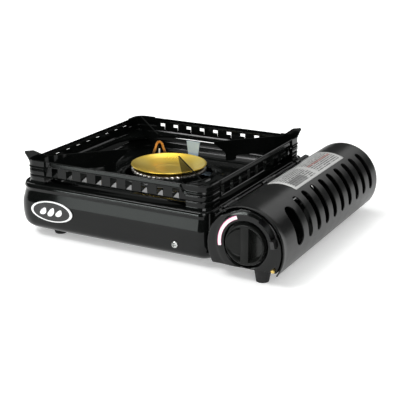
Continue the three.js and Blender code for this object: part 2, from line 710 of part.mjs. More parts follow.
// Corner leg: a ribbed angle plate outside the guard's corner, standing on the top plate.
function cornerLeg(sx, sy) {
  const { reach, low, high } = POST;
  const ribs = [[low, 1.9], [73, 1.9], [74.4, 2.7], [76.4, 2.7], [77.8, 1.9], [80.4, 1.9], [83, 1.5],
    [83.6, 2.8], [85.6, 2.8], [86.4, 1.9], [high, 1.9]];
  const section = [...ribs, [high, GAP], [low, GAP]];
  const stations = [];
  const radius = GUARD.radius;
  for (const [along, angle] of [[reach - radius, 0], [0, 0], [0, 18], [0, 36], [0, 54], [0, 72],
    [0, 90], [reach - radius, 90]]) {
    stations.push({ along, angle: THREE.MathUtils.degToRad(angle) });
  }
  const loops = stations.map(({ along, angle }) => section.map(([z, off]) => {
    const back = angle === 0 ? [0, -along] : [-along, 0];
    const x = GUARD.x - radius + (radius + off) * Math.cos(angle) + back[0];
    const y = GUARD.y - radius + (radius + off) * Math.sin(angle) + back[1];
    return new THREE.Vector3(sx * x, sy * y, z);
  }));
  const leg = loft(loops, false);
  return hasEar([sx, sy]) ? cut(leg, finNotch(sx, sy)) : leg;
}

// Pot fin: claw over the flame and a level top edge, standing on the guard's corner gusset.
function potFin(sx, sy) {
  const floor = GUARD.bottom + GUARD.sheet + GAP;
  const { frontTip, rearTip, top, end, earTop, earEnd } = FIN;
  const tip = sy > 0 ? rearTip : frontTip;
  const claw = [
    [tip, top], [tip + 3, top - 3.6], [tip + 17, 80],
    [tip + 18, 70], [tip + 30, 70], [tip + 32, floor],
  ];
  const plain = [[end, floor], [end, top - 2], [end - 2, top]];
  const ear = [
    [160, floor], [163, 86.2], [170.4, 86.2], [171.4, 92.5], [earEnd - 1.4, 99.4], [earEnd, 101.6],
    [earEnd, earTop - 0.9], [earEnd - 1, earTop], [earEnd - 10, earTop], [earEnd - 12.5, earTop - 1],
    [earEnd - 19, 99.4], [earEnd - 26, top],
  ];
  const side = outline([...claw, ...(hasEar([sx, sy]) ? ear : plain)]);
  return plateXZ(side, -FIN.sheet / 2, FIN.sheet / 2).rotateZ(finAngle(sx, sy));
}

// ---------------------------------------------------------------- assembly
function named(name, geometry, material) {
  const mesh = new THREE.Mesh(geometry, material);
  mesh.name = name;
  return mesh;
}

const sideName = (sx, sy) => `${sy > 0 ? 'rear' : 'front'}_${sx > 0 ? 'right' : 'left'}`;

function bodyGroup() {
  const group = new THREE.Group();
  group.add(
    named('lower_body', lowerBody(), ENAMEL),
    named('top_plate', topPlate(), ENAMEL),
    named('front_badge', badge(), WHITE_PRINT),
    named('front_screw', frontScrew(), STEEL),
    named('bay_divider', bayDivider(), ENAMEL),
    named('canister_tray', canisterTray(), ENAMEL),
    named('front_bulkhead', bulkhead(-107.5, -106.2, 62, 10), STEEL),
    named('rear_bulkhead', bulkhead(148, 149.3, 50, 0, TRAY.high + 1.6), ENAMEL),
    named('hinge_rod', hingeRod(), STEEL),
    named('control_panel', controlPanel(), ENAMEL),
    named('flame_scale', flameScale(), WHITE_PRINT),
  );
  for (const [side, x, y, top] of FEET) group.add(named(`foot_${side}`, foot(x, y, top), RUBBER));
  return group;
}

function gasGroup() {
  const group = new THREE.Group();
  group.add(
    named('regulator_body', regulatorBody(), ALUMINIUM),
    named('gas_inlet', gasInlet(), BRASS),
    named('gas_jet', gasJet(), BRASS),
    named('relief_outlet', reliefOutlet(), BRASS),
    named('mixing_tube', mixingTube(), STEEL),
    named('burner_cup', burnerCup(), ALUMINIUM),
    named('burner_stand', burnerStand(), STEEL),
    named('flame_port_ring', portRing(), STEEL),
    named('burner_head', burnerHead(), BRASS),
    named('piezo_igniter', piezoIgniter(), BLACK_PLASTIC),
    named('ignition_lead', ignitionLead(), RUBBER),
    named('spark_electrode', sparkElectrode(), CERAMIC),
    named('electrode_hoop', electrodeHoop(), COPPER),
    named('heat_plate', heatPlate(), ALUMINIUM),
  );
  return group;
}

function controlGroup() {
  const group = new THREE.Group();
  group.add(
    named('control_knob', controlKnob(), BLACK_PLASTIC),
    named('knob_shaft', knobShaft(), STEEL),
    named('lock_lever', lockLever(), BLACK_PLASTIC),
    named('canister_clamp', canisterClamp(), STEEL),
  );
  return group;
}

function coverGroup() {
  const group = new THREE.Group();
  group.add(
    named('canister_cover', canisterCover(), COVER_PAINT),
    named('cover_label', coverLabel(), LABEL),
  );
  return group;
}

function panSupportGroup() {
  const group = new THREE.Group();
  group.add(named('wind_guard', windGuard(), ENAMEL));
  for (const [sx, sy] of CORNERS) {
    group.add(
      named(`corner_leg_${sideName(sx, sy)}`, cornerLeg(sx, sy), ENAMEL),
      named(`pot_fin_${sideName(sx, sy)}`, potFin(sx, sy), ENAMEL),
    );
  }
  return group;
}

const stove = new THREE.Group();
stove.add(bodyGroup(), gasGroup(), controlGroup(), coverGroup(), panSupportGroup());
stove.position.set(
  -(BODY.left + SHELL.x + SHELL.radius) / 2,
  -(LEVER.front + SHELL.back) / 2,
  0,
);

export default stove;
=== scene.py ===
"""Looks for the portable butane stove: detailed skins, materials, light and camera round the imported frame.

Shapes are drawn in millimetres about the burner's axis, as the stove is laid out, and `place` moves them to
the shared frame.
"""
import json
import math

import bmesh
import bpy
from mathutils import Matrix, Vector


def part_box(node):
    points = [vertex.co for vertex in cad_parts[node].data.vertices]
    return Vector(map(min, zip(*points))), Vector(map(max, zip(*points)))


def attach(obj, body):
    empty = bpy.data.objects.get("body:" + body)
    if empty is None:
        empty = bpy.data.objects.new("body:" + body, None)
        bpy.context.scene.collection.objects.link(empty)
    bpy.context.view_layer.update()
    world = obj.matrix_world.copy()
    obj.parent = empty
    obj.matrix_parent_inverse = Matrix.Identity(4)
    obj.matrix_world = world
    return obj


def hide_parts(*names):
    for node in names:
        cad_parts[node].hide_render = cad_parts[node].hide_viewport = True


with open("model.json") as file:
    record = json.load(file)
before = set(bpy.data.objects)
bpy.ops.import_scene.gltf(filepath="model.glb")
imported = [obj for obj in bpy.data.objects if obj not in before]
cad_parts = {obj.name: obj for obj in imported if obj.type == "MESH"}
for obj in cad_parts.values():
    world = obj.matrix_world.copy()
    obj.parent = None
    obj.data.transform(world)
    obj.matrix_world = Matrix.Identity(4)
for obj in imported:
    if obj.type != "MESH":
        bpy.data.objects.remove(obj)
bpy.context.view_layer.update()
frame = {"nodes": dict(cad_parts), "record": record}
MM = 0.001

HEAD_LOW, HEAD_HIGH = (Vector(v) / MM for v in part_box("burner_head"))
AXIS = ((HEAD_LOW.x + HEAD_HIGH.x) / 2, (HEAD_LOW.y + HEAD_HIGH.y) / 2)


def place(x, y, z):
    """A point in millimetres about the burner's axis, as metres in the shared frame."""
    return ((x + AXIS[0]) * MM, (y + AXIS[1]) * MM, z * MM)


def span(node):
    """A CAD node's lowest and highest corner, in millimetres about the burner's axis."""
    low, high = (Vector(v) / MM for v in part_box(node))
    shift = Vector((AXIS[0], AXIS[1], 0))
    return low - shift, high - shift


# ---------------------------- driving dimensions
BODY_LOW, BODY_HIGH = span("lower_body")
DECK_LOW, DECK_HIGH = span("top_plate")
GUARD_LOW, GUARD_HIGH = span("wind_guard")
COVER_LOW, COVER_HIGH = span("canister_cover")
PANEL_LOW, PANEL_HIGH = span("control_panel")
KNOB_LOW, KNOB_HIGH = span("control_knob")

CORNER = 26                    # radius of the body's left corners, seen from above
WELL = {"x": 106, "y": 112, "radius": 26, "floor": 58, "hole": 54, "rim": DECK_HIGH.z - 1.3}
GUARD = {"x": GUARD_HIGH.x, "y": GUARD_HIGH.y, "radius": 11, "flange": 9, "gusset": 75}
VENT = {"half": (4.3, 3.5, 3.8, 4.3), "low": 76.6, "high": 87.3, "count": 9, "pitch": (22, 20.2)}
SHELL = {"radius": 45.5, "x": COVER_HIGH.x - 45.5, "z": COVER_HIGH.z - 45.5, "low": -33, "high": 138,
         "front": COVER_LOW.y, "back": COVER_HIGH.y, "dome": 10}
SLOT = {"low": -3.5, "high": 60, "half": 5.7, "first": -67.5, "pitch": 24.6, "count": 9}
WIDE = {"y": -96.5, "half": 10, "low": -4, "high": 54}
KNOB = {"x": (KNOB_LOW.x + KNOB_HIGH.x) / 2, "z": (KNOB_LOW.z + KNOB_HIGH.z) / 2,
        "radius": (KNOB_HIGH.x - KNOB_LOW.x) / 2, "front": KNOB_LOW.y, "back": KNOB_HIGH.y}
CUP = {"radius": KNOB["radius"] + 2.7, "floor": KNOB["back"] + 0.4}
FACE = PANEL_LOW.y
PANEL_ROUND = 43.2             # radius of the panel's round side, about the cover's axis
SHOULDER = {"z": 64.5, "slope": 0.45}    # the panel's upper left side: height at its left end, and rise
ARC = {"start": 109, "sweep": 81, "inner": 27.9, "wide": 4.6}    # white arc on the panel, degrees and mm
RIDGE = 4.3                    # half width of the knob's grip ridge
BEAD = {"low": 88.4, "drop": 6.8, "out": 1.35}    # the guard's top bead: lower edge, fall at its ends, height


# ---------------------------- meshes
def new_object(name, points, faces):
    mesh = bpy.data.meshes.new(name)
    mesh.from_pydata([place(*p) for p in points], [], faces)
    obj = bpy.data.objects.new(name, mesh)
    bpy.context.collection.objects.link(obj)
    return obj


def clean(obj, angle=35):
    """Weld doubled points, turn every face outward, and shade smooth up to an angle."""
    work = bmesh.new()
    work.from_mesh(obj.data)
    bmesh.ops.remove_doubles(work, verts=work.verts, dist=1e-6)
    bmesh.ops.recalc_face_normals(work, faces=work.faces)
    work.to_mesh(obj.data)
    work.free()
    obj.data.shade_smooth()
    obj.data.set_sharp_from_angle(angle=math.radians(angle))
    return obj


def bevel(obj, width=0.3, segments=2, angle=35):
    mod = obj.modifiers.new("edge", "BEVEL")
    mod.width = width * MM
    mod.segments = segments
    mod.limit_method = "ANGLE"
    mod.angle_limit = math.radians(angle)
    mod.harden_normals = True
    return obj


def thicken(obj, sheet, offset=-1.0):
    mod = obj.modifiers.new("sheet", "SOLIDIFY")
    mod.thickness = sheet * MM
    mod.offset = offset
    mod.use_even_offset = True
    return obj


def dress(obj, material, body, replaces=()):
    obj.data.materials.append(material)
    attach(obj, body)
    if replaces:
        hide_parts(*replaces)
    return obj


def grid(rows, columns, wrap_rows=False, wrap_columns=False, keep=None):
    """Quads over a grid of points stored row by row."""
    faces = []
    for i in range(rows if wrap_rows else rows - 1):
        for j in range(columns if wrap_columns else columns - 1):
            if keep and not keep(i, j):
                continue
            up, along = (i + 1) % rows, (j + 1) % columns
            faces.append((i * columns + j, i * columns + along, up * columns + along, up * columns + j))
    return faces


def join_parts(name, parts):
    """One object from several (points, faces) pairs."""
    points, faces = [], []
    for part_points, part_faces in parts:
        start = len(points)
        points.extend(part_points)
        faces.extend(tuple(start + i for i in face) for face in part_faces)
    return new_object(name, points, faces)


def smooth_line(points, steps=5):
    """Points along a Catmull-Rom curve through the given points."""
    ends = [points[0]] + list(points) + [points[-1]]
    line = []
    for a, b, c, d in zip(ends, ends[1:], ends[2:], ends[3:]):
        for i in range(steps):
            t = i / steps
            line.append(tuple(
                0.5 * (2 * q + (r - p) * t + (2 * p - 5 * q + 4 * r - s) * t ** 2
                       + (3 * q - p - 3 * r + s) * t ** 3)
                for p, q, r, s in zip(a, b, c, d)))
    line.append(tuple(points[-1]))
    return line


def lathe(profile, x=0.0, y=0.0, segments=96, axis="z", z=0.0):
    """Turned skin: [radius, height] points about an upright axis, or about one along y."""
    points = []
    for radius, height in profile:
        for i in range(segments):
            angle = 2 * math.pi * i / segments
            u, v = radius * math.cos(angle), radius * math.sin(angle)
            points.append((x + u, y + v, height) if axis == "z" else (x + u, height, z + v))
    return points, grid(len(profile), segments, wrap_columns=True)


def blend_step(t):
    t = min(max(t, 0.0), 1.0)
    return t * t * (3 - 2 * t)


def rounded_loop(x0, x1, y0, y1, radii, z, steps=14, straight=6):
    """A level rounded rectangle; radii go back right, back left, front left, front right."""
    corners = [(x1, y1, -1, -1, 0), (x0, y1, 1, -1, 90), (x0, y0, 1, 1, 180), (x1, y0, -1, 1, 270)]
    arcs = []
    for (x, y, inward_x, inward_y, start), radius in zip(corners, radii):
        arc = []
        for i in range(steps):
            angle = math.radians(start + 90 * i / (steps - 1))
            arc.append((x + inward_x * radius + radius * math.cos(angle),
                        y + inward_y * radius + radius * math.sin(angle), z))
        arcs.append(arc)
    loop = []
    for arc, following in zip(arcs, arcs[1:] + arcs[:1]):
        loop.extend(arc)
        for i in range(1, straight):
            t = i / straight
            loop.append(tuple(a + (b - a) * t for a, b in zip(arc[-1], following[0])))
    return loop


def circle_like(loop, radius, z):
    """A circle whose points lie in the same directions as a loop's."""
    return [(radius * math.cos(a), radius * math.sin(a), z) for a in (math.atan2(y, x) for x, y, _ in loop)]


def skin(loops, closed=False):
    return [p for loop in loops for p in loop], grid(len(loops), len(loops[0]), closed, True)


# ---------------------------- materials
def surface(name, dark, light, roughness, metallic=0.0, grain=900.0, stretch=(1, 1, 1), bump=0.1,
            relief=0.05, spread=0.06, patches=25.0, shine=0.5, rings=False):
    """A finish with colour patches, uneven roughness and fine relief, all from noise in object space."""
    material = bpy.data.materials.new(name)
    material.use_nodes = True
    tree = material.node_tree
    shader = tree.nodes["Principled BSDF"]
    shader.inputs["Metallic"].default_value = metallic
    shader.inputs["Specular IOR Level"].default_value = shine
    where = tree.nodes.new("ShaderNodeTexCoord")
    fine_map = tree.nodes.new("ShaderNodeMapping")
    fine_map.inputs["Scale"].default_value = stretch
    tree.links.new(where.outputs["Object"], fine_map.inputs["Vector"])
    if rings:
        fine_map.inputs["Location"].default_value = (-AXIS[0] * MM, -AXIS[1] * MM, 0)
        fine = tree.nodes.new("ShaderNodeTexWave")
        fine.wave_type = "RINGS"
        fine.rings_direction = "Z"
        fine.inputs["Scale"].default_value = grain
        fine.inputs["Distortion"].default_value = 1.5
        fine.inputs["Detail"].default_value = 3
    else:
        fine = tree.nodes.new("ShaderNodeTexNoise")
        fine.inputs["Scale"].default_value = grain
        fine.inputs["Detail"].default_value = 4
    tree.links.new(fine_map.outputs["Vector"], fine.inputs["Vector"])
    broad = tree.nodes.new("ShaderNodeTexNoise")
    broad.inputs["Scale"].default_value = patches
    broad.inputs["Detail"].default_value = 5
    tree.links.new(where.outputs["Object"], broad.inputs["Vector"])
    tint = tree.nodes.new("ShaderNodeValToRGB")
    tint.color_ramp.elements[0].position = 0.35
    tint.color_ramp.elements[1].position = 0.68
    tint.color_ramp.elements[0].color = (*dark, 1)
    tint.color_ramp.elements[1].color = (*light, 1)
    tree.links.new(broad.outputs["Fac"], tint.inputs["Fac"])
    tree.links.new(tint.outputs["Color"], shader.inputs["Base Color"])
    gloss = tree.nodes.new("ShaderNodeMapRange")
    gloss.inputs["To Min"].default_value = max(roughness - spread, 0.02)
    gloss.inputs["To Max"].default_value = roughness + spread
    tree.links.new(broad.outputs["Fac"], gloss.inputs["Value"])
    tree.links.new(gloss.outputs["Result"], shader.inputs["Roughness"])
    lift = tree.nodes.new("ShaderNodeBump")
    lift.inputs["Strength"].default_value = bump
    lift.inputs["Distance"].default_value = relief * MM
    tree.links.new(fine.outputs["Fac"], lift.inputs["Height"])
    tree.links.new(lift.outputs["Normal"], shader.inputs["Normal"])
    return material


def link_mask(tree, factor, low_colour, high_colour):
    """A mix of two colours, or of a colour and a socket, by a factor socket."""
    mix = tree.nodes.new("ShaderNodeMix")
    mix.data_type = "RGBA"
    tree.links.new(factor, mix.inputs["Factor"])
    for socket, value in ((mix.inputs["A"], low_colour), (mix.inputs["B"], high_colour)):
        if hasattr(value, "links"):
            tree.links.new(value, socket)
        else:
            socket.default_value = (*value, 1)
    return mix.outputs["Result"]


def math_node(tree, operation, *values):
    node = tree.nodes.new("ShaderNodeMath")
    node.operation = operation
    for socket, value in zip(node.inputs, values):
        if hasattr(value, "links"):
            tree.links.new(value, socket)
        else:
            socket.default_value = value
    return node.outputs[0]


def between(tree, value, low, high):
    """One inside a range of a value, nought outside it."""
    return math_node(tree, "MULTIPLY", math_node(tree, "GREATER_THAN", value, low),
                     math_node(tree, "LESS_THAN", value, high))


def label_print():
    """Silver label with grey line blocks, a header bar, a red rule and a dark panel; nothing can be read."""
    material = surface("label_print", (0.42, 0.42, 0.42), (0.5, 0.5, 0.49), 0.36, 0.0, bump=0.03)
    tree = material.node_tree
    shader = tree.nodes["Principled BSDF"]
    uv = tree.nodes.new("ShaderNodeUVMap")
    split = tree.nodes.new("ShaderNodeSeparateXYZ")
    tree.links.new(uv.outputs["UV"], split.inputs["Vector"])
    u, v = split.outputs["X"], split.outputs["Y"]
    line = math_node(tree, "FRACT", math_node(tree, "MULTIPLY", v, 12.0))
    row = math_node(tree, "FLOOR", math_node(tree, "MULTIPLY", v, 12.0))
    words = tree.nodes.new("ShaderNodeTexNoise")
    words.noise_dimensions = "2D"
    words.inputs["Scale"].default_value = 1.0
    place_word = tree.nodes.new("ShaderNodeCombineXYZ")
    tree.links.new(math_node(tree, "MULTIPLY", u, 60.0), place_word.inputs["X"])
    tree.links.new(math_node(tree, "MULTIPLY", row, 7.3), place_word.inputs["Y"])
    tree.links.new(place_word.outputs["Vector"], words.inputs["Vector"])
    ink = math_node(tree, "MULTIPLY", between(tree, line, 0.2, 0.74),
                    math_node(tree, "GREATER_THAN", words.outputs["Fac"], 0.4))
    columns = math_node(tree, "ADD", between(tree, u, 0.04, 0.44), between(tree, u, 0.5, 0.96))
    text = math_node(tree, "MULTIPLY", math_node(tree, "MULTIPLY", ink, columns), between(tree, v, 0.07, 0.8))
    header = math_node(tree, "MULTIPLY", between(tree, v, 0.84, 0.94), between(tree, u, 0.03, 0.97))
    rule = math_node(tree, "MULTIPLY", between(tree, v, 0.47, 0.53), between(tree, u, 0.5, 0.96))
    panel = math_node(tree, "MULTIPLY", between(tree, v, 0.1, 0.42), between(tree, u, 0.05, 0.3))
    ground = tree.nodes["Color Ramp"].outputs["Color"]
    printed = link_mask(tree, math_node(tree, "MULTIPLY", text, 0.9), ground, (0.02, 0.02, 0.02))
    printed = link_mask(tree, math_node(tree, "MULTIPLY", header, 0.5), printed, (0.12, 0.13, 0.13))
    printed = link_mask(tree, math_node(tree, "MULTIPLY", rule, 0.6), printed, (0.4, 0.09, 0.07))
    printed = link_mask(tree, math_node(tree, "MULTIPLY", panel, 0.75), printed, (0.1, 0.1, 0.1))
    tree.links.new(printed, shader.inputs["Base Color"])
    return material


def flame_print():
    """White arc with soft pink edges, by how far across the arc a point lies."""
    material = surface("flame_print", (0.93, 0.9, 0.91), (0.96, 0.94, 0.95), 0.3, bump=0.02)
    tree = material.node_tree
    uv = tree.nodes.new("ShaderNodeUVMap")
    split = tree.nodes.new("ShaderNodeSeparateXYZ")
    tree.links.new(uv.outputs["UV"], split.inputs["Vector"])
    edge = math_node(tree, "ABSOLUTE", math_node(tree, "SUBTRACT", split.outputs["Y"], 0.5))
    soft = tree.nodes.new("ShaderNodeMapRange")
    soft.interpolation_type = "SMOOTHSTEP"
    soft.inputs["From Min"].default_value = 0.18
    soft.inputs["From Max"].default_value = 0.46
    tree.links.new(edge, soft.inputs["Value"])
    ground = tree.nodes["Color Ramp"].outputs["Color"]
    tinted = link_mask(tree, soft.outputs["Result"], ground, (0.8, 0.16, 0.34))
    tree.links.new(tinted, tree.nodes["Principled BSDF"].inputs["Base Color"])
    return material


ENAMEL = surface("black_enamel", (0.002, 0.0024, 0.0022), (0.0036, 0.004, 0.0038), 0.09, grain=420,
                 bump=0.07, relief=0.03, spread=0.03, patches=18, shine=0.22)
PANEL_ENAMEL = surface("panel_enamel", (0.0015, 0.0018, 0.0017), (0.003, 0.0032, 0.003), 0.1, grain=420,
                       bump=0.05, relief=0.03, spread=0.03, patches=18, shine=0.27)
COVER_PAINT = surface("cover_paint", (0.007, 0.0072, 0.0072), (0.01, 0.0102, 0.01), 0.3, grain=1500,
                      bump=0.12, relief=0.02, spread=0.05, shine=0.22)
PLASTIC = surface("black_plastic", (0.008, 0.008, 0.0085), (0.012, 0.012, 0.012), 0.28, grain=2200,
                  bump=0.1, relief=0.02)
KNOB_PLASTIC = surface("knob_plastic", (0.006, 0.0065, 0.006), (0.01, 0.0105, 0.01), 0.24, grain=2600,
                       bump=0.14, relief=0.02, spread=0.05, shine=0.15)
RUBBER = surface("foot_rubber", (0.006, 0.006, 0.006), (0.012, 0.012, 0.012), 0.6, grain=1400,
                 bump=0.3, shine=0.25)
LEAD = surface("lead_rubber", (0.01, 0.01, 0.01), (0.02, 0.02, 0.02), 0.5, grain=1400, bump=0.2)
STEEL = surface("zinc_steel", (0.42, 0.43, 0.42), (0.6, 0.61, 0.6), 0.32, 1.0, grain=260, bump=0.1,
                patches=140, spread=0.12)
ROD_STEEL = surface("rod_steel", (0.03, 0.03, 0.03), (0.06, 0.06, 0.06), 0.35, 1.0, grain=400, bump=0.1,
                    patches=140, spread=0.1)
BURNER_STEEL = surface("burner_steel", (0.3, 0.28, 0.26), (0.5, 0.48, 0.45), 0.34, 1.0, grain=500, bump=0.2,
                       patches=60, spread=0.1)
CAST = surface("cast_aluminium", (0.4, 0.41, 0.42), (0.52, 0.53, 0.54), 0.5, 1.0, grain=1100, bump=0.5,
               relief=0.1, spread=0.1)
PLATE = surface("plate_aluminium", (0.26, 0.34, 0.42), (0.36, 0.45, 0.53), 0.45, 0.0, grain=500,
                stretch=(6, 6, 0.4), bump=0.15, spread=0.08)
BRASS = surface("brass", (0.62, 0.43, 0.12), (0.72, 0.53, 0.18), 0.26, 1.0, grain=900, bump=0.1)
BURNER_BRASS = surface("burner_brass", (0.8, 0.54, 0.06), (0.9, 0.7, 0.2), 0.29, 0.8, grain=170, bump=0.05,
                       relief=0.02, patches=14, spread=0.05, rings=True)
COPPER = surface("copper", (0.34, 0.15, 0.05), (0.5, 0.27, 0.1), 0.36, 0.9, grain=700, bump=0.15,
                 patches=120, spread=0.1)
CERAMIC = surface("white_ceramic", (0.72, 0.69, 0.62), (0.82, 0.79, 0.73), 0.22, grain=800, bump=0.04)
WHITE_PRINT = surface("badge_white", (0.75, 0.75, 0.75), (0.83, 0.83, 0.83), 0.28, grain=900, bump=0.03)
BADGE_BLACK = surface("badge_black", (0.004, 0.004, 0.004), (0.008, 0.008, 0.008), 0.2, grain=900, bump=0.03)
LABEL = label_print()
FLAME = flame_print()
FINISHES = {
    "black_enamel": ENAMEL, "cover_paint": COVER_PAINT, "zinc_steel": STEEL, "burner_steel": BURNER_STEEL,
    "cast_aluminium": CAST, "plate_aluminium": PLATE, "brass": BRASS, "burner_brass": BURNER_BRASS,
    "copper": COPPER, "white_ceramic": CERAMIC, "black_plastic": PLASTIC, "knob_plastic": KNOB_PLASTIC,
    "foot_rubber": RUBBER, "lead_rubber": LEAD, "badge_print": WHITE_PRINT, "panel_print": FLAME,
    "label": LABEL,
}


# ---------------------------- lower body and top plate
# Height, and how far the pressed wall stands in from the widest line.
WALL = [(BODY_LOW.z, 19), (BODY_LOW.z + 0.1, 17), (10.8, 11), (13.8, 5.5), (18, 2.2), (25, 0.6), (34, 0),
        (40, 0.05), (44, 0.35), (47, 0.95), (50, 1.65), (54, 2.6), (57, 3.3), (BODY_HIGH.z, 4)]


def wall_inset(z):
    for (low, at_low), (high, at_high) in zip(WALL, WALL[1:]):
        if z <= high:
            return at_low + (at_high - at_low) * (z - low) / (high - low)
    return WALL[-1][1]


def body_loop(inset, z):
    left = max(CORNER - 0.4 * inset, 8)
    right = max(12 - 0.2 * inset, 5)
    return rounded_loop(BODY_LOW.x + inset, BODY_HIGH.x - 0.35 * inset, BODY_LOW.y + inset,
                        BODY_HIGH.y - inset, (right, left, left, right), z)


def fill_ring(loop):
    """Rings from a loop to its middle, all at the loop's height."""
    middle_x = sum(p[0] for p in loop) / len(loop)
    middle_y = sum(p[1] for p in loop) / len(loop)
    return [[(middle_x + (x - middle_x) * k, middle_y + (y - middle_y) * k, z) for x, y, z in loop]
            for k in (0.02, 0.35, 0.7, 0.9)]


def lower_body():
    rise = smooth_line(WALL, 4)
    loops = [body_loop(inset, z) for z, inset in rise]
    obj = new_object("body_shell", *skin(fill_ring(loops[0]) + loops))
    bevel(thicken(clean(obj, 60), 1.3), 0.25)
    dress(obj, ENAMEL, "stove_body", ["lower_body"])


def top_plate():
    rim = WELL["rim"]
    floor = WELL["floor"]

    def well(inset, z):
        radius = max(WELL["radius"] - inset / 2, 4)
        return rounded_loop(inset - WELL["x"], WELL["x"] - inset, inset - WELL["y"], WELL["y"] - inset,
                            (radius,) * 4, z)

    edge = [(3.9, DECK_LOW.z), (2.7, 61.3), (2.5, 61.8), (2.85, 63.2), (3.35, 65), (4, 65.9), (5, 66.5),
            (6.5, rim)]
    loops = [body_loop(inset, z) for inset, z in edge]
    bead = [(-6, rim), (-3.4, rim), (-2.2, rim + 0.25), (-1, rim + 1), (0, rim + 1.3), (1, rim + 1),
            (2.2, rim + 0.1), (3, rim - 1.2), (5.6, floor + 2), (6.6, floor + 0.7), (8, floor + 0.1),
            (9.6, floor), (16, floor), (17.5, floor + 0.5), (19, floor + 0.9), (20.5, floor + 0.5),
            (22, floor), (30, floor)]
    loops += [well(inset, z) for inset, z in bead]
    collar = [(70, 0), (66, 0.2), (64, 1), (61.5, 1.3), (58.5, 1.6), (57, 2.4), (56, 3.6), (55.4, 4.6),
              (54.2, 5)]
    loops += [circle_like(loops[-1], radius, floor + lift) for radius, lift in collar]
    obj = new_object("top_deck", *skin(loops))
    bevel(thicken(clean(obj, 60), 1.2), 0.25)
    dress(obj, ENAMEL, "stove_body", ["top_plate"])


# ---------------------------- wind guard
SIDES = [((1, 0), (0, 1)), ((0, 1), (-1, 0)), ((-1, 0), (0, -1)), ((0, -1), (1, 0))]


def wall_point(side, s, inset, z, flange=0.0, radius=None):
    """A point on one wall: s along it from its middle, inset inward from its face, round the corners too."""
    (nx, ny), (ax, ay) = SIDES[side]
    radius = GUARD["radius"] if radius is None else radius
    out = (GUARD["x"] if nx else GUARD["y"]) - flange
    straight = (GUARD["y"] if nx else GUARD["x"]) - flange - radius
    past = max(abs(s) - straight, 0.0)
    turn = past / radius
    along = math.copysign(min(abs(s), straight) + (radius - inset) * math.sin(turn), s)
    away = out - radius + (radius - inset) * math.cos(turn)
    return (nx * away + ax * along, ny * away + ay * along, z)


def half_length(side, flange=0.0, radius=None):
    radius = GUARD["radius"] if radius is None else radius
    reach = (GUARD["y"] if SIDES[side][0][0] else GUARD["x"]) - flange - radius
    return reach + math.pi * radius / 4


def vent_places(side):
    pitch = VENT["pitch"][0 if SIDES[side][0][0] else 1]
    return [(i - (VENT["count"] - 1) / 2) * pitch for i in range(VENT["count"])]


def wall_stations(side):
    """Places along a wall: vent edges, the webs between them, the bead's step and the round corners."""
    half = half_length(side)
    straight = half - math.pi * GUARD["radius"] / 4
    marks = [-straight, straight]
    for middle in vent_places(side):
        marks += [middle - VENT["half"][side], middle, middle + VENT["half"][side]]
    last = max(marks[2:])
    marks += [sign * (last + step) for sign in (-1, 1) for step in (1, 2, 3, 4, 5, 6, 8)]
    marks = sorted(m for m in set(marks) if abs(m) <= straight)
    corner = [straight + (half - straight) * k / 4 for k in range(1, 5)]
    return [-c for c in reversed(corner)][1:] + marks + corner, last


def bead_press(s, z, last):
    """How far the bead stands out: along the top, stepping down to the leg's rib at each end."""
    foot = BEAD["low"] - BEAD["drop"] * blend_step((abs(s) - last - 1) / 5)
    rise = blend_step((z - foot) / 1.1)
    fall = min(max((z - foot - 1.1) / 4.2, 0), 1)
    return rise * (BEAD["out"] - 0.8 * fall - 0.55 * blend_step((z - foot - 4.6) / 1.2))


def wind_guard():
    bottom, top = GUARD_LOW.z + 0.4, GUARD_HIGH.z
    heights = [bottom + 1.2, VENT["low"], 78.5, 80.4, 81.4, 82.1, 82.8, 83.5, 84.4, 85.3, 86.3, VENT["high"],
               87.9, 88.5, 89.1, 89.7, 90.5, 91.4, 92.3, 93, top - 0.3]
    under, over = 4, 2             # points of a column below the wall's heights and above them
    rows = under + len(heights) + over
    columns, open_columns = [], set()
    for side in range(4):
        stations, last = wall_stations(side)
        vents = vent_places(side)
        half = half_length(side)
        half_lip = half_length(side, GUARD["flange"], GUARD["gusset"])
        for s, following in zip(stations, stations[1:] + [stations[-1]]):
            middle = (s + following) / 2
            if any(abs(middle - v) < VENT["half"][side] for v in vents):
                open_columns.add(len(columns))
            lip = wall_point(side, s / half * half_lip, 0, bottom, GUARD["flange"], GUARD["gusset"])
            column = [lip[:2] + (bottom - 2.3,), lip[:2] + (bottom,),
                      wall_point(side, s, 5.5, bottom), wall_point(side, s, 1.3, bottom)]
            for z in heights:
                press = bead_press(s, z, last)
                foot = 0.5 if z == heights[0] else 0.0
                column.append(wall_point(side, s, foot - press, z))
            column.append(wall_point(side, s, 0.4, top))
            column.append(wall_point(side, s, 1.6, top - 0.1))
            columns.append(column)
    low = under + heights.index(VENT["low"])
    high = under + heights.index(VENT["high"])

    def outside_vents(i, j):
        return not (i in open_columns and low <= j < high)

    obj = new_object("guard_wall", [p for column in columns for p in column],
                     grid(len(columns), rows, True, False, outside_vents))
    thicken(clean(obj, 60), 0.9)
    bevel(obj, 0.2)
    dress(obj, ENAMEL, "pan_support", ["wind_guard"])


# Half width and height along a tab's outline, and its lean in degrees: pointed tabs on the right and in
# front, square ones at the rear, and nearly shut ones on the left.
POINTED_TAB = (((3.9, 0), (2.4, 3.8), (0.7, 8.2)), 38)
SQUARE_TAB = (((3.4, 0), (3.4, 6.7), (3, 7.5)), 10)
SHUT_TAB = (((3.8, 0), (3.8, 9.6), (3.5, 10.6)), 3)
TABS = [POINTED_TAB, SQUARE_TAB, SHUT_TAB, POINTED_TAB]


